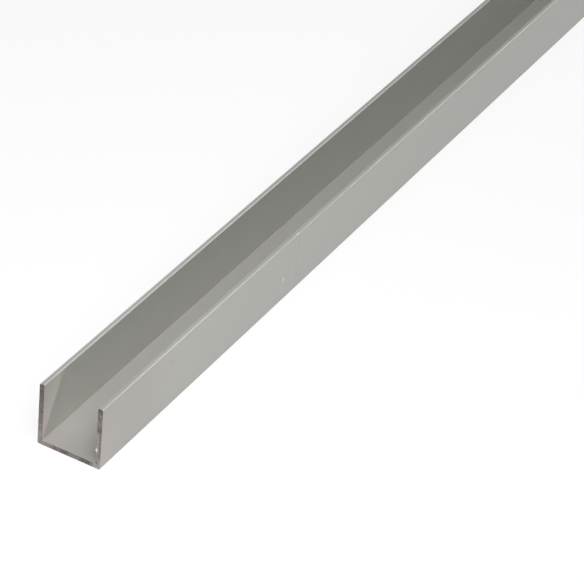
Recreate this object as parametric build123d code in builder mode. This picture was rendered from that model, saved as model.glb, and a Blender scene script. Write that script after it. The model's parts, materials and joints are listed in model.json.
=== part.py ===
from build123d import *
import os

# A channel section: U-shaped aluminium stock, extruded in one piece and sawn square at both ends.
# It lies on its web with the groove upwards. X runs across it, Y along it and Z up, and the
# origin is the middle of the web's underside. All sizes are in millimetres.

# Section: a flat web with an upright flange along each side
channel_width = 20.0
channel_height = 20.0
web_thickness = 1.5
flange_thickness = 1.5

# Length in which the stock is sold
channel_length = 1000.0

# Edges that the die rounds along the whole length
heel_radius = 0.4
root_radius = 0.3
tip_radius = 0.4

# The groove is what the web and the two flanges leave open
groove_width = channel_width - 2 * flange_thickness
groove_depth = channel_height - web_thickness

with BuildPart() as channel:
    # The section is drawn seen from the end: local X is across the channel and local Y is up
    with BuildSketch(Plane.XZ) as section:
        Rectangle(channel_width, channel_height, align=(Align.CENTER, Align.MIN))
        with Locations((0, web_thickness)):
            Rectangle(groove_width, groove_depth, align=(Align.CENTER, Align.MIN), mode=Mode.SUBTRACT)
        # Both edges of each flange tip are the four highest corners
        fillet(section.vertices().group_by(Axis.Y)[-1], radius=tip_radius)
        # The roots are the next corners above the two heels, where the groove's floor meets its walls
        fillet(section.vertices().group_by(Axis.Y)[1], radius=root_radius)
        # The heels are the two lowest corners, where the channel stands
        fillet(section.vertices().group_by(Axis.Y)[0], radius=heel_radius)
    # The length runs equally both ways from the origin, and the sawn ends stay sharp
    extrude(amount=channel_length / 2, both=True)

channel.part.label = "channel"

section_area = section.sketch.area
print(f"channel: section {section_area:.2f} mm2, volume {channel.part.volume:.0f} mm3")

os.makedirs("parts", exist_ok=True)
export_step(channel.part, "parts/channel.step")
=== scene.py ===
# %% [markdown]
# # A length of aluminium channel
#
# Channel is stock for makers: a flat web with an upright flange along each side, extruded in one piece,
# anodised to a satin silver and sawn to length. This lesson dresses the measured solid with what the eye
# looks for on the real thing: thin bright lines along its rounded edges, a groove that shades itself,
# and a raw sawn end, torn along one of its inner edges.
#
# Everything is in metres, in the solid's own frame: X across the channel, Y along it, Z up.

# %% Load the measured solid
import json
import math

import bmesh
import bpy
from mathutils import Matrix, Vector, noise


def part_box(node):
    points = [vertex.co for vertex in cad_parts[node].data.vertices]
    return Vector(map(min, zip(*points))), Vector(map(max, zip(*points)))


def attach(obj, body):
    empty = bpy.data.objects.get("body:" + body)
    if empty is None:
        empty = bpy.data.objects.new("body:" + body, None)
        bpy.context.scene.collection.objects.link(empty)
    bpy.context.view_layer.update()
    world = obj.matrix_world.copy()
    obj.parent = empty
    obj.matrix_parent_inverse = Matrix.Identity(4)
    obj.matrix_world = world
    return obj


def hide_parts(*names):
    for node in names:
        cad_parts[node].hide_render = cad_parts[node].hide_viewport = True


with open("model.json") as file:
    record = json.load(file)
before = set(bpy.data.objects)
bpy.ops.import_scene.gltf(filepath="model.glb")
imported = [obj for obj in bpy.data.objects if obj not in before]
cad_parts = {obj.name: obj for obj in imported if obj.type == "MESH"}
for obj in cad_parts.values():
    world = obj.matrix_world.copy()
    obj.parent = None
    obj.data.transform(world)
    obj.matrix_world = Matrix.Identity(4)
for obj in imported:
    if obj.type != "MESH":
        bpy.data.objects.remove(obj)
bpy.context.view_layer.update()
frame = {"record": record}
low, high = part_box("channel")
mounts = {mount["name"]: mount["pos_m"] for mount in frame["record"]["mounts"]}
WALL_X = mounts["groove_right_wall"][0]
FLOOR_Z = mounts["groove_floor"][2]
MM = 0.001
print("channel box in mm:", [round(c / MM, 2) for c in (*low, *high)])
print("groove width and depth in mm:", round(2 * WALL_X / MM, 2), round((high.z - FLOOR_Z) / MM, 2))

# %% [markdown]
# ## Camera
#
# A camera can be placed by eye, but a straight channel shows every error of angle. Its long edges run to
# one vanishing point, and with the section's known size they fix the camera's place, turn and lens.
# Heading, tilt and roll are kept as three plain angles, because they are easier to read than a matrix.

# %% Make the camera
CAMERA_PLACE = Vector((0.2888, -0.9661, 0.4363))
HEADING = math.radians(26.034)
TILT = math.radians(-34.524)
ROLL = math.radians(6.165)
LENS_MM = 160.12
SENSOR_MM = 36
NEAREST_SEEN = 0.01
FARTHEST_SEEN = 100

camera = bpy.data.objects.new("camera", bpy.data.cameras.new("camera"))
bpy.context.scene.collection.objects.link(camera)
level_view = math.radians(90)
heading_turn = Matrix.Rotation(HEADING, 4, "Z")
tilt_turn = Matrix.Rotation(level_view + TILT, 4, "X")
roll_turn = Matrix.Rotation(ROLL, 4, "Z")
camera.matrix_world = Matrix.Translation(CAMERA_PLACE) @ heading_turn @ tilt_turn @ roll_turn
camera.data.lens = LENS_MM
camera.data.sensor_width = SENSOR_MM
camera.data.clip_start = NEAREST_SEEN
camera.data.clip_end = FARTHEST_SEEN
bpy.context.scene.camera = camera
print("camera to near end:", round((CAMERA_PLACE - Vector((0, low.y, 0))).length, 3), "m")

# %% [markdown]
# ## The extrusion
#
# The real profile is pushed through a die, so its section is the same all along. The same move makes it
# here: the eight corners of the section become one face, and extruding that face gives the whole length.

# %% Extrude the section
section = [
    (low.x, low.z), (high.x, low.z), (high.x, high.z), (WALL_X, high.z),
    (WALL_X, FLOOR_Z), (-WALL_X, FLOOR_Z), (-WALL_X, high.z), (low.x, high.z),
]
stock = bmesh.new()
corners = [stock.verts.new((x, low.y, z)) for x, z in section]
near_face = stock.faces.new(corners)
pushed = bmesh.ops.extrude_face_region(stock, geom=[near_face])
far_corners = [part for part in pushed["geom"] if isinstance(part, bmesh.types.BMVert)]
bmesh.ops.translate(stock, vec=(0, high.y - low.y, 0), verts=far_corners)
bmesh.ops.recalc_face_normals(stock, faces=stock.faces)
print("sharp extrusion:", len(stock.verts), "corners,", len(stock.faces), "faces")

# %% [markdown]
# ## Rounded edges
#
# A die can't hold a knife edge, so every long edge of the profile comes out slightly round. On the real
# channel these arcs are only a few tenths of a millimetre wide, yet they catch the lamp and draw the
# bright line along each flange. A bevel on the long edges alone makes them. Only the new arcs are shaded
# smooth: the flats stay flat, so that no false curve runs across them.

# %% Round the long edges
TIP_RADIUS = 0.4 * MM
ROOT_RADIUS = 0.3 * MM
HEEL_RADIUS = 0.4 * MM
ARC_STEPS = 6
TOUCH = 1e-6


def long_edges(height, widest):
    """Find the edges along the length at one height, out to a distance from the middle."""
    found = []
    for edge in stock.edges:
        start, end = (corner.co for corner in edge.verts)
        runs_along = abs(end.y - start.y) > 1 * MM
        if runs_along and abs(start.z - height) < TOUCH and abs(start.x) < widest + TOUCH:
            found.append(edge)
    return found


def round_edges(edges, radius):
    """Bevel some edges to an arc and shade the arc smooth."""
    rounded = bmesh.ops.bevel(
        stock, geom=edges, offset=radius, offset_type="OFFSET", segments=ARC_STEPS,
        profile=0.5, affect="EDGES", material=-1,
    )
    for face in rounded["faces"]:
        face.smooth = True


round_edges(long_edges(high.z, high.x), TIP_RADIUS)
round_edges(long_edges(FLOOR_Z, WALL_X), ROOT_RADIUS)
round_edges(long_edges(low.z, high.x), HEEL_RADIUS)
print("section area in square mm:", round(stock.calc_volume() / (high.y - low.y) / MM ** 2, 2))

# %% [markdown]
# ## Sawn ends
#
# A saw leaves a face that is flat only at a glance: the teeth score it in lines, and it is a little lower
# here and higher there. A texture could fake that, but the rim would stay a perfect outline. So each end
# is cut into a fine grid with bisecting planes, and its points are then moved inwards, along the length.
# The grid stops a short way behind the end, because the rest of the bar needs no more points.

# %% Cut a fine grid into each end
GRID_DEPTH = 0.8 * MM
GRID_CELLS = 80


def cut_ring(y):
    """Cut a ring of edges round the bar at one place along its length."""
    parts = stock.verts[:] + stock.edges[:] + stock.faces[:]
    bmesh.ops.bisect_plane(stock, geom=parts, dist=TOUCH, plane_co=(0, y, 0), plane_no=(0, 1, 0))


def cut_grid(end, depth):
    """Cut one end and the band behind it with upright and level planes."""
    def in_reach(corners):
        return all(abs(corner.co.y - end) < depth + TOUCH for corner in corners)
    parts = [corner for corner in stock.verts if in_reach([corner])]
    parts += [edge for edge in stock.edges if in_reach(edge.verts)]
    parts += [face for face in stock.faces if in_reach(face.verts)]
    for step in range(1, GRID_CELLS):
        share = step / GRID_CELLS
        across = (low.x + (high.x - low.x) * share, 0, 0)
        upward = (0, 0, low.z + (high.z - low.z) * share)
        for place, facing in ((across, (1, 0, 0)), (upward, (0, 0, 1))):
            cut = bmesh.ops.bisect_plane(stock, geom=parts, dist=TOUCH, plane_co=place, plane_no=facing)
            parts = cut["geom"]


for end, inward in ((low.y, 1), (high.y, -1)):
    cut_ring(end + inward * GRID_DEPTH)
    cut_grid(end, GRID_DEPTH)
open_edges = sum(edge.is_boundary for edge in stock.edges)
print("after the grids:", len(stock.faces), "faces, open edges:", open_edges)

# %% [markdown]
# ## The torn edge
#
# Where the teeth left the metal they tore a strip off the inner edge of one flange, from the groove's
# floor to about half its height. It shows as a ragged bright bevel in the dark sawn face. A bevel
# operator would cut it too evenly, so the width at each height is read off a short list of places and
# roughened with noise, and the points inside that width sink into the bar, deepest at the groove. In one
# place a small burr stayed up instead: there the edge doesn't sink, but leans a little into the groove.

# %% Measure the torn strip
TORN_WIDTHS = (
    (1.3, 0.80), (3.0, 0.85), (4.4, 0.78), (5.5, 0.95), (6.7, 0.90), (7.7, 0.62), (8.6, 0.72),
    (9.4, 0.85), (10.6, 0.80), (11.3, 0.70), (11.9, 0.15), (12.1, 0.0),
)
RAGGED_SIZE = 0.45 * MM
RAGGED_SHARE = 0.35
CRUMPLED_SHARE = 0.5
TORN_SLOPE = 0.5
BURR_HEIGHT = 5.9 * MM
BURR_HALF = 1.1 * MM
BURR_BREADTH = 0.4 * MM
BURR_REACH = 0.12 * MM


def torn_width(height):
    """Give how wide the torn strip is at a height, between the listed places."""
    for (z0, wide0), (z1, wide1) in zip(TORN_WIDTHS, TORN_WIDTHS[1:]):
        if z0 * MM <= height <= z1 * MM:
            ragged = 1 + RAGGED_SHARE * noise.noise(Vector((0, 0, height)) / RAGGED_SIZE)
            return (wide0 + (wide1 - wide0) * (height / MM - z0) / (z1 - z0)) * MM * ragged
    return 0


def torn_share(place):
    """Give 0 outside the torn strip, and inside it how far a point is from the strip's outer side."""
    across = WALL_X + torn_width(place.z) - place.x
    return max(across, 0) if place.x > WALL_X - TOUCH else 0


def burr_share(place):
    """Give 1 at the middle of the burr's edge, falling to 0 along the edge and across the strip."""
    along_edge = 1 - ((place.z - BURR_HEIGHT) / BURR_HALF) ** 2
    across_strip = 1 - abs(place.x - WALL_X) / BURR_BREADTH
    on_flange = place.x > WALL_X - TOUCH
    return max(along_edge, 0) * max(across_strip, 0) if on_flange else 0


heights = [z * MM for z, _ in TORN_WIDTHS]
widths = [torn_width(height) for height in heights]
print("torn strip: widest", round(max(widths) / MM, 2), "mm")

# %% [markdown]
# ## Which faces are anodised, sawn or torn
#
# The bar was anodised before it was cut, so the skin is on the long faces alone. The two sawn faces are
# bare metal, darkened partly by the blade and partly by painted shade, and the torn strip shines. Each
# gets its own material number while the faces are still easy to find by their place.

# %% Number the faces by finish
SKIN, SAWN, TORN = 0, 1, 2
for face in stock.faces:
    at_near_end = all(abs(corner.co.y - low.y) < TOUCH for corner in face.verts)
    at_far_end = all(abs(corner.co.y - high.y) < TOUCH for corner in face.verts)
    face.material_index = SAWN if at_near_end or at_far_end else SKIN
    if at_near_end and torn_share(face.calc_center_median()) > 0:
        face.material_index = TORN
counts = [sum(face.material_index == finish for face in stock.faces) for finish in (SKIN, SAWN, TORN)]
print("faces with skin, sawn and torn:", counts)

# %% [markdown]
# ## Unevenness of the sawn faces
#
# Two things shape a sawn face: slow waves, where the blade wandered, and the scores of its teeth. Smooth
# noise gives the first and a sine across a slanted direction gives the second. Points only move into the
# bar, so its length stays within the measured one.

# %% Score the sawn faces
WANDER = 0.05 * MM
SCORE = 0.02 * MM
WANDER_SIZE = 1.3 * MM
SCORE_GAP = 0.9 * MM
SCORE_SLANT = math.radians(62)
OTHER_END_SHIFT = 1.7


def inset_at(place, end):
    """Give how far a point of a sawn face lies inside the bar's full length, differently at each end."""
    shifted = Vector((place.x, OTHER_END_SHIFT * end, place.z)) / WANDER_SIZE
    across_scores = place.x * math.cos(SCORE_SLANT) + place.z * math.sin(SCORE_SLANT)
    wave = math.sin(2 * math.pi * across_scores / SCORE_GAP)
    return WANDER * (0.5 + 0.5 * noise.noise(shifted)) + SCORE * (0.5 + 0.5 * wave)


insets = []
for end, inward in ((low.y, 1), (high.y, -1)):
    for corner in stock.verts:
        if abs(corner.co.y - end) < TOUCH:
            amount = inset_at(corner.co, end)
            if end == low.y:
                crumpled = 1 + CRUMPLED_SHARE * noise.noise(corner.co / RAGGED_SIZE)
                turned = burr_share(corner.co)
                amount += TORN_SLOPE * torn_share(corner.co) * crumpled * (1 - turned)
                corner.co.x -= BURR_REACH * turned
            corner.co.y += inward * amount
            insets.append(amount)
print("sawn faces lie inside the ends by", round(min(insets) / MM, 3), "to", round(max(insets) / MM, 3), "mm")

# %% [markdown]
# ## A nick in the edge
#
# Stock gets knocked in its rack. The photo shows one small bruise on the outer edge of a flange, a hand's
# width from the end. A few rings of extra edges give the bar points there, and those on the arc are
# pushed in, most at the middle of the bruise and less towards its ends.

# %% Press in the nick
NICK = Vector((high.x, low.y + 105 * MM, high.z))
NICK_LENGTH = 1.6 * MM
NICK_DEPTH = 0.16 * MM
NICK_RINGS = 4
for step in range(-NICK_RINGS, NICK_RINGS + 1):
    cut_ring(NICK.y + step * NICK_LENGTH / (2 * NICK_RINGS))

nicked = 0
for corner in stock.verts:
    off_centre = abs(corner.co.y - NICK.y) / (NICK_LENGTH / 2)
    past_arc = high.x - corner.co.x > TIP_RADIUS + TOUCH or high.z - corner.co.z > TIP_RADIUS + TOUCH
    if off_centre < 1 and not past_arc and corner.co.x > WALL_X:
        unevenness = 0.8 + 0.4 * noise.noise(corner.co / RAGGED_SIZE)
        depth = NICK_DEPTH * (1 - off_centre ** 2) * unevenness
        corner.co += Vector((-1, 0, -1)).normalized() * depth
        nicked += 1
print("points pushed in:", nicked)

# %% [markdown]
# ## The finished mesh
#
# The rim of each sawn face has to look cut, so its edges are marked sharp and the shading doesn't run
# round them. Points that the many cuts left in the same place are merged, the normals are recalculated
# once more, and the mesh becomes one object that stands for the measured solid.

# %% Make the channel object
SAME_POINT = 1e-7
SHARP_TURN = math.radians(35)
bmesh.ops.remove_doubles(stock, verts=stock.verts, dist=SAME_POINT)
bmesh.ops.recalc_face_normals(stock, faces=stock.faces)
for edge in stock.edges:
    finishes = {face.material_index for face in edge.link_faces}
    edge.smooth = len(finishes) == 1 and edge.calc_face_angle(0) < SHARP_TURN
open_edges = sum(not edge.is_manifold for edge in stock.edges)
channel_mesh = bpy.data.meshes.new("channel_stock")
stock.to_mesh(channel_mesh)
stock.free()
channel_stock = bpy.data.objects.new("channel_stock", channel_mesh)
bpy.context.scene.collection.objects.link(channel_stock)
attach(channel_stock, "root")
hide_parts("channel")
print("channel:", len(channel_mesh.polygons), "faces, edges left open:", open_edges)

# %% [markdown]
# ## A shorthand for shader maths
#
# A finish is a network of nodes, and most of them are sums and products. Written out by hand they hide
# the idea, so a small class wraps a socket: adding or multiplying two signals adds the Math node by
# itself, and one method adds any other node.

# %% Wrap a socket
class Signal:
    """One output socket in a material, which can be used in ordinary expressions."""

    def __init__(self, tree, socket=None):
        self.tree = tree
        self.socket = socket

    def node(self, kind, settings=None, sockets=None, output=0):
        """Add a node: first its settings, then the value or the signal of each socket."""
        made = self.tree.nodes.new(kind)
        for name, value in (settings or {}).items():
            setattr(made, name, value)
        for key, value in (sockets or {}).items():
            if isinstance(value, Signal):
                self.tree.links.new(value.socket, made.inputs[key])
            else:
                made.inputs[key].default_value = value
        return Signal(self.tree, made.outputs[output] if made.outputs else None)

    def maths(self, operation, first, second):
        """Add a Math node on two values or signals."""
        return self.node("ShaderNodeMath", {"operation": operation}, {0: first, 1: second})

    def larger(self, other):
        """Give the larger of two signals."""
        return self.maths("MAXIMUM", self, other)

    def __add__(self, other):
        return self.maths("ADD", self, other)

    def __radd__(self, other):
        return self.maths("ADD", other, self)

    def __sub__(self, other):
        return self.maths("SUBTRACT", self, other)

    def __rsub__(self, other):
        return self.maths("SUBTRACT", other, self)

    def __mul__(self, other):
        return self.maths("MULTIPLY", self, other)

    def __rmul__(self, other):
        return self.maths("MULTIPLY", other, self)


print("what a signal can do by name:", [name for name in vars(Signal) if not name.startswith("__")])

# %% [markdown]
# ## Helpers for the pattern of a finish
#
# A finish here always starts from the object's own coordinates, which are metres, so that a pattern keeps
# its real size. Stretching them along one axis turns round spots into streaks, and dropping one turns a
# spot into a line. A noise gives cloudy values.

# %% Name the steps of a pattern
def start_finish(name):
    """Make an empty material and give its place signal and its node tree."""
    finish = bpy.data.materials.new(name)
    finish.use_nodes = True
    finish.node_tree.nodes.clear()
    place = Signal(finish.node_tree).node("ShaderNodeTexCoord", output="Object")
    return finish, place


def stretched(place, x=1.0, y=1.0, z=1.0):
    """Scale the coordinates, so that a pattern is finer or coarser along each axis."""
    return place.node("ShaderNodeMapping", {"vector_type": "POINT"}, {"Vector": place, "Scale": (x, y, z)})


def flattened(place):
    """Drop the coordinate along the bar, so that a spot becomes a line along its length."""
    sockets = {0: place, 1: (1.0, 0.0, 1.0)}
    return place.node("ShaderNodeVectorMath", {"operation": "MULTIPLY"}, sockets)


def along_axis(place, axis):
    """Give one coordinate, X, Y or Z, of a place."""
    return place.node("ShaderNodeSeparateXYZ", {}, {"Vector": place}, output=axis)


def cloudy(place, per_metre, detail=2.0, roughness=0.5):
    """Give smooth random values from 0 to 1, with a middle of about a half."""
    sockets = {"Vector": place, "Scale": per_metre, "Detail": detail, "Roughness": roughness}
    return place.node("ShaderNodeTexNoise", {"noise_dimensions": "3D"}, sockets)


PATTERN_STEPS = (start_finish, stretched, flattened, along_axis, cloudy)
print("steps of a pattern:", [step.__name__ for step in PATTERN_STEPS])

# %% [markdown]
# ## Helpers for masks, colours and the shader
#
# A soft step turns values into a mask, and the distance from a place turned into a mask marks one spot.
# A blend mixes two colours by a mask. Grain this fine is only a bump, a slope that the shader is told of,
# because moving points would need millions of them.

# %% Name the steps from a pattern to a surface
def soft_step(signal, start, end):
    """Turn values below start into 0 and above end into 1, with a smooth passage between."""
    sockets = {"Value": signal, "From Min": start, "From Max": end}
    return signal.node("ShaderNodeMapRange", {"interpolation_type": "SMOOTHSTEP"}, sockets)


def blend(mask, colour, other):
    """Mix two colours: the first where the mask is 0 and the other where it is 1."""
    return mask.node("ShaderNodeMix", {"data_type": "RGBA"}, {0: mask, 6: colour, 7: other}, output=2)


def near_place(place, centre, radius):
    """Give a mask that is 1 at a centre and falls to 0 at a radius."""
    sockets = {0: place, 1: centre}
    distance = place.node("ShaderNodeVectorMath", {"operation": "DISTANCE"}, sockets, output="Value")
    return soft_step(distance, radius, 0.0)


def bumped(height, depth):
    """Turn a height signal into a normal: depth is the height in metres of a value of 1."""
    return height.node("ShaderNodeBump", {}, {"Height": height, "Distance": depth, "Strength": 1.0})


def close_finish(place, base_color, metallic, roughness, normal):
    """Feed a metal's shader and connect it to the material's output."""
    sockets = {"Base Color": base_color, "Metallic": metallic, "Roughness": roughness, "Normal": normal}
    shader = place.node("ShaderNodeBsdfPrincipled", {}, sockets)
    place.node("ShaderNodeOutputMaterial", {}, {"Surface": shader})


SURFACE_STEPS = (soft_step, blend, near_place, bumped, close_finish)
print("steps to a surface:", [step.__name__ for step in SURFACE_STEPS])

# %% [markdown]
# ## Anodised skin
#
# Anodising etches the metal to an even satin and grows a clear hard layer on it. It is duller and
# slightly greener than bare aluminium. Close to, it isn't one flat grey: there are slow cloudy patches,
# faint lines along the length from the die, and a very fine grain that spreads each highlight.

# %% Mix the anodised skin
SKIN_LIGHT = (0.437, 0.443, 0.410, 1.0)
SKIN_DARK = (0.421, 0.428, 0.394, 1.0)
SKIN_METALLIC = 0.30
SKIN_ROUGHNESS = 0.33
SKIN_RELIEF = 0.004 * MM
CLOUDS_PER_METRE = 160.0
LINES_PER_METRE = 1900.0
LINE_STRETCH = 0.004
GRAINS_PER_METRE = 9000.0

skin, place = start_finish("anodised_skin")
clouds = cloudy(place, CLOUDS_PER_METRE, detail=3.0)
die_lines = cloudy(stretched(place, y=LINE_STRETCH), LINES_PER_METRE)
grain = cloudy(place, GRAINS_PER_METRE)
mottle = soft_step(clouds * 0.6 + die_lines * 0.4, 0.30, 0.70)
clean_colour = blend(mottle, SKIN_DARK, SKIN_LIGHT)
skin_roughness = SKIN_ROUGHNESS + 0.05 * clouds
skin_height = grain * 0.5 + die_lines * 0.5
print("clean skin:", len(skin.node_tree.nodes), "nodes")

# %% [markdown]
# ## Worn and highlit tips, shaded corners
#
# The rounded tips stick out and are painted lighter: a little all along, which is wear, and much more
# towards the ends, which is mostly a painted highlight that strengthens the lamp's bright line there. The
# two inner corners are painted darker, which is painted shade. A mask that depends on the place in the
# section alone runs the whole length by itself, and coordinates without their sign make both flanges and
# both ends alike.

# %% Find the tips to lighten and the corners to shade
HIGHLIT_PART = 150 * MM
MOST_HIGHLIT = 30 * MM
EVEN_WEAR = 0.02
NEAR_END_WEAR_AND_HIGHLIGHT = 0.17
TIP_REACH = 0.55 * MM
CORNER_REACH = 0.6 * MM
STRETCHES_PER_METRE = 150.0

halved = place.node("ShaderNodeVectorMath", {"operation": "ABSOLUTE"}, {0: place})
in_section = flattened(halved)
outer_tips = near_place(in_section, Vector((high.x, 0, high.z)), TIP_REACH)
inner_tips = near_place(in_section, Vector((WALL_X, 0, high.z)), TIP_REACH)
# Painted shade: the two inner corners are darkened where the flanges meet the web.
painted_corner_shade = near_place(in_section, Vector((WALL_X, 0, FLOOR_Z)), CORNER_REACH)

from_middle = along_axis(halved, "Y")
near_ends = soft_step(from_middle, high.y - HIGHLIT_PART, high.y - MOST_HIGHLIT)
stretches = soft_step(cloudy(stretched(place, y=0.2), STRETCHES_PER_METRE), 0.35, 0.70)
# Wear and painted highlight: how much lighter the tips are painted, most near each end.
wear_and_highlight = (EVEN_WEAR * stretches + NEAR_END_WEAR_AND_HIGHLIGHT * near_ends) * outer_tips.larger(inner_tips)
# The painted highlight on the tips is strongest within this distance of each end.
print("tips are rubbed more within", round(HIGHLIT_PART / MM), "mm of each end")

# %% [markdown]
# ## Darker near the ends
#
# Beside each cut the skin is a darker grey: for a short way in the groove, and for a longer way outside
# it. Both fade out along the bar, and both would be at their full strength only a little past its end.
# The grey lies over the clean skin, the lighter tips over the grey, and the corners' painted shade over
# all.

# %% Grey the ends, lighten the tips and shade the corners
# The tips' lighter colour, partly wear and partly painted highlight.
WORN_AND_HIGHLIT_EDGE = (0.600, 0.600, 0.570, 1.0)
# Painted shade for the inner corners.
SHADED_CORNER_COLOUR = (0.300, 0.305, 0.282, 1.0)
END_GREY = (0.384, 0.376, 0.349, 1.0)
GROOVE_EDGE_SOFTNESS = 0.4 * MM
LONG_GREY = 45 * MM
LONG_GREY_PAST_END = 5 * MM
SHORT_GREY = 14 * MM
SHORT_GREY_PAST_END = 1 * MM
GROOVE_SHARE = 0.8
CORNER_SHADE_SHARE = 0.3

outside_groove = soft_step(along_axis(halved, "X"), WALL_X, WALL_X + GROOVE_EDGE_SOFTNESS)
long_grey_mask = soft_step(from_middle, high.y - LONG_GREY, high.y + LONG_GREY_PAST_END)
short_grey_mask = soft_step(from_middle, high.y - SHORT_GREY, high.y + SHORT_GREY_PAST_END)
# Darker grey near each end, weaker in the groove.
greyed_near_ends = outside_groove * long_grey_mask + (1.0 - outside_groove) * short_grey_mask * GROOVE_SHARE
greyed_near_ends_colour = blend(greyed_near_ends, clean_colour, END_GREY)
# The tips' wear and painted highlight, then the inner corners' painted shade, over the skin.
worn_highlit_shaded_colour = blend(painted_corner_shade * CORNER_SHADE_SHARE, blend(wear_and_highlight, greyed_near_ends_colour, WORN_AND_HIGHLIT_EDGE), SHADED_CORNER_COLOUR)
# How far the darker grey reaches from each cut, outside the groove and in it.
print("film beside each cut in mm, outside and in the groove:", LONG_GREY / MM, SHORT_GREY / MM)

# %% [markdown]
# ## Marks in the skin
#
# Handling leaves a few marks on stock: a bright fleck with a faint run below it, a grey rub, and the nick
# that was pressed in before. Each is a soft spot at a measured place. Where the skin is gone the bare
# metal shows lighter and smoother, so the same spots change both the colour and the roughness.

# %% Add the marks
BARE_METAL = (0.80, 0.79, 0.76, 1.0)
RUBBED_SKIN = (0.385, 0.385, 0.360, 1.0)
FLECK, FLECK_RADIUS = (10.0, 98.0, 7.5), 0.9 * MM
RUN_BELOW, RUN_RADIUS = (10.0, 98.0, 5.0), 1.2 * MM
RUB, RUB_RADIUS = (10.0, 35.0, 14.7), 1.0 * MM
NICK_MARK_RADIUS = 0.6 * MM


def on_bar(millimetres):
    """Turn millimetres from the near end into a place in the bar's own coordinates."""
    x, y, z = millimetres
    return Vector((x * MM, low.y + y * MM, z * MM))


def mark(place, centre, radius, y=1.0, z=1.0):
    """Give a spot's mask, drawn out along the bar or upwards where y or z is less than 1."""
    middle = Vector((centre.x, centre.y * y, centre.z * z))
    return near_place(stretched(place, 1.0, y, z), middle, radius)


fleck = mark(place, on_bar(FLECK), FLECK_RADIUS)
run_below = mark(place, on_bar(RUN_BELOW), RUN_RADIUS, z=0.35)
nick_mark = mark(place, NICK, NICK_MARK_RADIUS, y=0.6)
rub = mark(place, on_bar(RUB), RUB_RADIUS, y=0.7)
bare = (fleck * 0.8 + run_below * 0.12).larger(nick_mark * 0.9)
marked_colour = blend(bare, blend(rub * 0.7, worn_highlit_shaded_colour, RUBBED_SKIN), BARE_METAL)
marked_roughness = skin_roughness + rub * 0.08 - bare * 0.08 - wear_and_highlight * 0.20
close_finish(place, marked_colour, SKIN_METALLIC, marked_roughness, bumped(skin_height, SKIN_RELIEF))
print("anodised skin with its marks:", len(skin.node_tree.nodes), "nodes")

# %% [markdown]
# ## Sawn metal
#
# Fresh cut aluminium is bright, but this end isn't: its dark brown is partly a thin film that the blade's
# heat and dirt left, and partly painted shade. It is darker at the tips and in the middle of the web, and
# lighter in the two lower corners and along the right flange. So a tone is built from soft spots at
# those places, roughened with clouds and with fine scores across, and it chooses between a dark and a
# light metal.

# %% Mix the sawn metal
# The dark colours are partly the cut's own film and partly painted shade.
SAWN_BROWN = (0.104, 0.086, 0.083, 1.0)
SAWN_GREY = (0.093, 0.085, 0.079, 1.0)
SAWN_LIGHT = (0.308, 0.276, 0.254, 1.0)
SAWN_METALLIC = 0.5
SAWN_ROUGHNESS = 0.45
SAWN_RELIEF = 0.02 * MM
EVEN_TONE = 0.12
RIGHT_FLANGE_TONE = 0.26
PATCH_CONTRAST = 1.5
SCORE_CONTRAST = 0.3
PATCHES_PER_METRE = 1050.0
SCORES_PER_METRE = 1500.0
HUES_PER_METRE = 450.0
# Places where the sawn face is lighter, then where it is darker: x, z and reach in mm, and amount.
LIGHTER_SPOTS = (
    (-9.5, 1.0, 9.5, 0.50), (-9.5, 8.5, 6.0, 0.10), (9.3, 0.9, 3.4, 0.90), (1.6, 0.7, 2.8, 0.30),
    (-6.8, 0.7, 1.8, 0.12), (-3.3, 0.7, 1.4, 0.15),
)
DARKER_SPOTS = (
    (-1.7, 0.7, 2.4, 0.30), (-4.7, 0.7, 1.8, 0.20), (5.2, 0.7, 2.0, 0.16), (9.5, 5.8, 1.3, 0.25),
    (9.3, 12.9, 1.4, 0.30), (9.2, 19.4, 2.0, 0.30), (-9.3, 18.0, 4.0, 0.12),
)

sawn, place = start_finish("sawn_metal")
in_section = flattened(place)
patches = cloudy(place, PATCHES_PER_METRE, detail=3.0, roughness=0.6)
scores = cloudy(stretched(place, z=6.0), SCORES_PER_METRE)
right_flange = soft_step(along_axis(place, "X"), WALL_X - 1.0 * MM, WALL_X + 0.5 * MM)
tone = EVEN_TONE + RIGHT_FLANGE_TONE * right_flange
tone = tone + PATCH_CONTRAST * (patches - 0.5) + SCORE_CONTRAST * (scores - 0.5)
for x, z, reach, amount in LIGHTER_SPOTS:
    tone = tone + amount * near_place(in_section, Vector((x, 0, z)) * MM, reach * MM)
for x, z, reach, amount in DARKER_SPOTS:
    tone = tone - amount * near_place(in_section, Vector((x, 0, z)) * MM, reach * MM)
sawn_tone = soft_step(tone, -0.15, 1.0)
film_hue = soft_step(cloudy(place, HUES_PER_METRE), 0.35, 0.65)
sawn_colour = blend(sawn_tone, blend(film_hue, SAWN_GREY, SAWN_BROWN), SAWN_LIGHT)
sawn_roughness = SAWN_ROUGHNESS + 0.2 * scores
close_finish(place, sawn_colour, SAWN_METALLIC, sawn_roughness, bumped(scores, SAWN_RELIEF))
print("sawn metal:", len(sawn.node_tree.nodes), "nodes")

# %% [markdown]
# ## Torn metal
#
# The torn strip has no film on it, because it broke open last. It is bare, crumpled metal: lighter than
# the sawn face all along, and brightest at the burr, which turned up towards the light: there a painted
# highlight lies in its colour.

# %% Mix the torn metal
TORN_DARK = (0.350, 0.327, 0.304, 1.0)
# Light bare metal for the flecks, and the colour of the burr's painted highlight.
TORN_BRIGHT_AND_HIGHLIGHT = (0.66, 0.64, 0.62, 1.0)
TORN_METALLIC = 0.7
TORN_ROUGHNESS = 0.35
TORN_RELIEF = 0.03 * MM
CRUMPLES_PER_METRE = 2500.0
BURR_NARROWING = 3.0
BURR_HIGHLIGHT_REACH = 1.5 * MM

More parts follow.
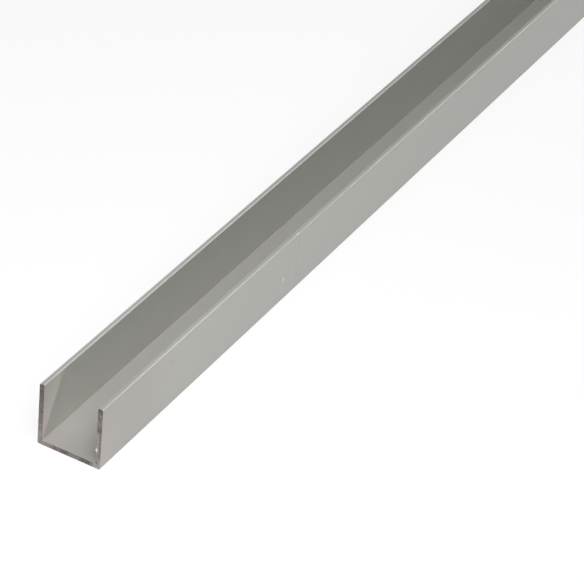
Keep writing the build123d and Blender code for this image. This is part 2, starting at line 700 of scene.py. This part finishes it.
torn, place = start_finish("torn_metal")
flecks = cloudy(place, CRUMPLES_PER_METRE)
narrowed = stretched(place, x=BURR_NARROWING)
burr_centre = Vector((BURR_NARROWING * (WALL_X - 0.05 * MM), low.y, BURR_HEIGHT))
# Painted highlight: a bright spot on the burr.
burr_highlight = near_place(narrowed, burr_centre, BURR_HIGHLIGHT_REACH)
flecks_and_burr_highlight = soft_step(flecks * 0.4 + burr_highlight, 0.15, 1.10)
torn_colour = blend(flecks_and_burr_highlight, TORN_DARK, TORN_BRIGHT_AND_HIGHLIGHT)
torn_roughness = TORN_ROUGHNESS + 0.15 * flecks + 0.25 * burr_highlight
close_finish(place, torn_colour, TORN_METALLIC, torn_roughness, bumped(flecks, TORN_RELIEF))

for finish in (skin, sawn, torn):
    channel_mesh.materials.append(finish)
print("torn metal:", len(torn.node_tree.nodes), "nodes")

# %% [markdown]
# ## Floor
#
# The channel lies on a plain white sheet. A sheet that is only lit never quite comes out white, and more
# lamps would wash the metal out. So most of it glows white for whatever looks at it, the lens or the
# metal's mirror image, and the rest is matt, which keeps a faint shadow beside the bar. To light that
# merely bounces off it the sheet is greyer, or it would fill the bar's shaded sides too much.

# %% Lay the floor
FLOOR_REACH = 20.0
floor_grid = bmesh.new()
bmesh.ops.create_grid(floor_grid, x_segments=1, y_segments=1, size=FLOOR_REACH)
floor_mesh = bpy.data.meshes.new("floor")
floor_grid.to_mesh(floor_mesh)
floor_grid.free()
floor = bpy.data.objects.new("floor", floor_mesh)
bpy.context.scene.collection.objects.link(floor)

FLOOR_GLOW = 0.8
SHEET_SEEN = (0.90, 0.90, 0.90, 1.0)
SHEET_BOUNCING = (0.35, 0.35, 0.35, 1.0)
WHITE = (1.0, 1.0, 1.0, 1.0)


def seen_directly(signal):
    """Give 1 for the lens and for mirror images, and 0 for light that only bounces off."""
    seen = signal.node("ShaderNodeLightPath", output="Is Camera Ray")
    for kind_of_ray in ("Is Glossy Ray", "Is Transmission Ray"):
        seen = seen.larger(signal.node("ShaderNodeLightPath", output=kind_of_ray))
    return seen


floor_finish, place = start_finish("white_sheet")
seen_white = seen_directly(place)
matt = place.node("ShaderNodeBsdfDiffuse", {}, {"Color": blend(seen_white, SHEET_BOUNCING, SHEET_SEEN)})
glow = place.node("ShaderNodeEmission", {}, {"Color": WHITE, "Strength": 1.0})
surface = place.node("ShaderNodeMixShader", {}, {0: seen_white * FLOOR_GLOW, 1: matt, 2: glow})
place.node("ShaderNodeOutputMaterial", {}, {"Surface": surface})
floor_mesh.materials.append(floor_finish)
print("sheet reaches", FLOOR_REACH, "m each way")

# %% [markdown]
# ## How a lamp hangs
#
# Each lamp here faces a named place, so that its light doesn't slide off the bar when the lamp is moved.
# A lamp shines along its own downward axis, which is turned to point at that place. A large disk makes
# soft shadows, as a window or a lampshade does.

# %% Hang and make a lamp
def hang(lamp, place, aim):
    """Hang a lamp at a place, facing another place, where the lens doesn't see it."""
    holder = bpy.data.objects.new(lamp.name, lamp)
    bpy.context.scene.collection.objects.link(holder)
    facing = (place - aim).to_track_quat("Z", "Y").to_matrix().to_4x4()
    holder.matrix_world = Matrix.Translation(place) @ facing
    holder.visible_camera = False
    return holder


def soft_lamp(name, width, watts, colour):
    """Make a round soft lamp."""
    lamp = bpy.data.lights.new(name, "AREA")
    lamp.shape = "DISK"
    lamp.size = width
    lamp.energy = watts
    lamp.color = colour
    return lamp


def direction(heading, height):
    """Turn two angles in degrees into a direction of length one."""
    round_bar, upward = math.radians(heading), math.radians(height)
    level = math.cos(upward)
    return Vector((level * math.cos(round_bar), level * math.sin(round_bar), math.sin(upward)))


print("a lamp at heading 0 and height 0 hangs towards", tuple(direction(0, 0)))

# %% [markdown]
# ## Lamps
#
# The near end is brighter than the rest, so three lamps hang close to it, in front and on the right, and
# their light falls off along the bar. The outer side of the bar is light, and the groove stays darker
# because its own flange shades it. A fourth lamp stands on the right beyond the near end: the rounded
# tips mirror it as a bright line. Four more, further off, keep the rest of the bar, its left side and its
# far end from going dark. Each lamp is given by the place along the bar that it faces, its heading round
# that place, its height as an angle, its distance, its width, its power and its colour, and none of them
# shows in the picture.

# %% Hang the lamps
NEAR_PART = low.y + 50 * MM
MIDDLE = (low.y + high.y) / 2
FAR_PART = high.y - 250 * MM
FAR_END = high.y
LAMPS = (
    ("right_in_front", NEAR_PART, 300, 35, 0.45, 0.25, 1.06, (1.00, 0.95, 0.96)),
    ("high_in_front", NEAR_PART, 270, 60, 0.45, 0.25, 0.64, (0.98, 0.94, 1.00)),
    ("high_right", NEAR_PART, 330, 60, 0.45, 0.25, 0.83, (1.00, 0.97, 0.99)),
    ("right_beyond", NEAR_PART, 60, 35, 0.80, 0.45, 0.71, (1.00, 0.97, 0.97)),
    ("whole_length", NEAR_PART, 225, 60, 1.60, 0.90, 0.80, (0.92, 0.96, 1.00)),
    ("far_right", FAR_PART, 0, 40, 0.60, 0.35, 0.96, (1.00, 1.00, 1.00)),
    ("low_left", MIDDLE, 180, 8, 1.20, 0.60, 4.00, (1.00, 1.00, 1.00)),
    ("beyond_the_far_end", FAR_END, 90, 15, 0.90, 0.50, 3.75, (1.00, 1.00, 1.00)),
)
for name, along, heading, height, distance, width, watts, colour in LAMPS:
    aim = Vector((0, along, high.z / 2))
    hang(soft_lamp(name, width, watts, colour), aim + direction(heading, height) * distance, aim)
print("lamps round the bar:", len(LAMPS))

# %% [markdown]
# ## Light through the open end
#
# A warm patch of light lies on the groove's left wall, close to the near end. Its edge is a straight
# slope, so it is light that comes in low through the open end and is cut off by the end of the web. It
# comes from under the level of the floor, as if the bar lay at the edge of a table. The floor here has
# no edge, so this lamp is linked to the bar alone: the floor neither catches its light nor stops it.
#
# Beside a linked lamp the renderer's light tree makes the near lamps together too bright, by up to a
# third. With the tree left off, the picture is again the sum of what each lamp gives by itself.

# %% Light the groove through its open end
UNDER_PLACE = Vector((0.115, low.y - 0.117, -0.228))
LIT_WALL = Vector((-WALL_X, low.y + 0.004, 0.012))
UNDER_WATTS = 3.2
UNDER_COLOUR = (1.00, 0.86, 0.85)
UNDER_RADIUS = 0.012
CONE = math.radians(5.4)
CONE_SOFTNESS = 0.3

only_bar = bpy.data.collections.new("only_the_bar")
only_bar.objects.link(channel_stock)
under_lamp = bpy.data.lights.new("under_the_edge", "SPOT")
under_lamp.energy = UNDER_WATTS
under_lamp.color = UNDER_COLOUR
under_lamp.shadow_soft_size = UNDER_RADIUS
under_lamp.spot_size = CONE
under_lamp.spot_blend = CONE_SOFTNESS
under_holder = hang(under_lamp, UNDER_PLACE, LIT_WALL)
under_holder.light_linking.receiver_collection = only_bar
under_holder.light_linking.blocker_collection = only_bar
bpy.context.scene.cycles.use_light_tree = False
print("under lamp to lit wall:", round((UNDER_PLACE - LIT_WALL).length, 3), "m")

# %% [markdown]
# ## The room
#
# Beyond the sheet the room is white near the horizon, where the sheet ends, and a plain grey above. The
# grey fills the shadows a little and gives the flanges' tops something dim to mirror. The shade depends
# on how steeply one looks up. The white band is there for the lens and for mirror images alone, so that
# it doesn't light the bar.

# %% Shade the room
HORIZON_END = math.sin(math.radians(7))
GREY_START = math.sin(math.radians(18))
ROOM_GREY = 0.25
world = bpy.data.worlds.new("white_room")
bpy.context.scene.world = world
world.use_nodes = True
world.node_tree.nodes.clear()
looking = Signal(world.node_tree).node("ShaderNodeTexCoord", output="Generated")
whiteness = soft_step(along_axis(looking, "Z"), GREY_START, HORIZON_END)
strength = ROOM_GREY + (1.0 - ROOM_GREY) * whiteness * seen_directly(looking)
backdrop = looking.node("ShaderNodeBackground", {}, {"Color": WHITE, "Strength": strength})
looking.node("ShaderNodeOutputWorld", {}, {"Surface": backdrop})
print("room is grey above", round(math.degrees(math.asin(GREY_START))), "degrees")

# %% [markdown]
# ## View transform
#
# The colours were written to be seen as they are, so the view transform is the plain one. The dressed
# bar must stay inside the measured solid, or it would no longer fit where the solid fits.

# %% Set the view transform
bpy.context.scene.view_settings.view_transform = "Standard"
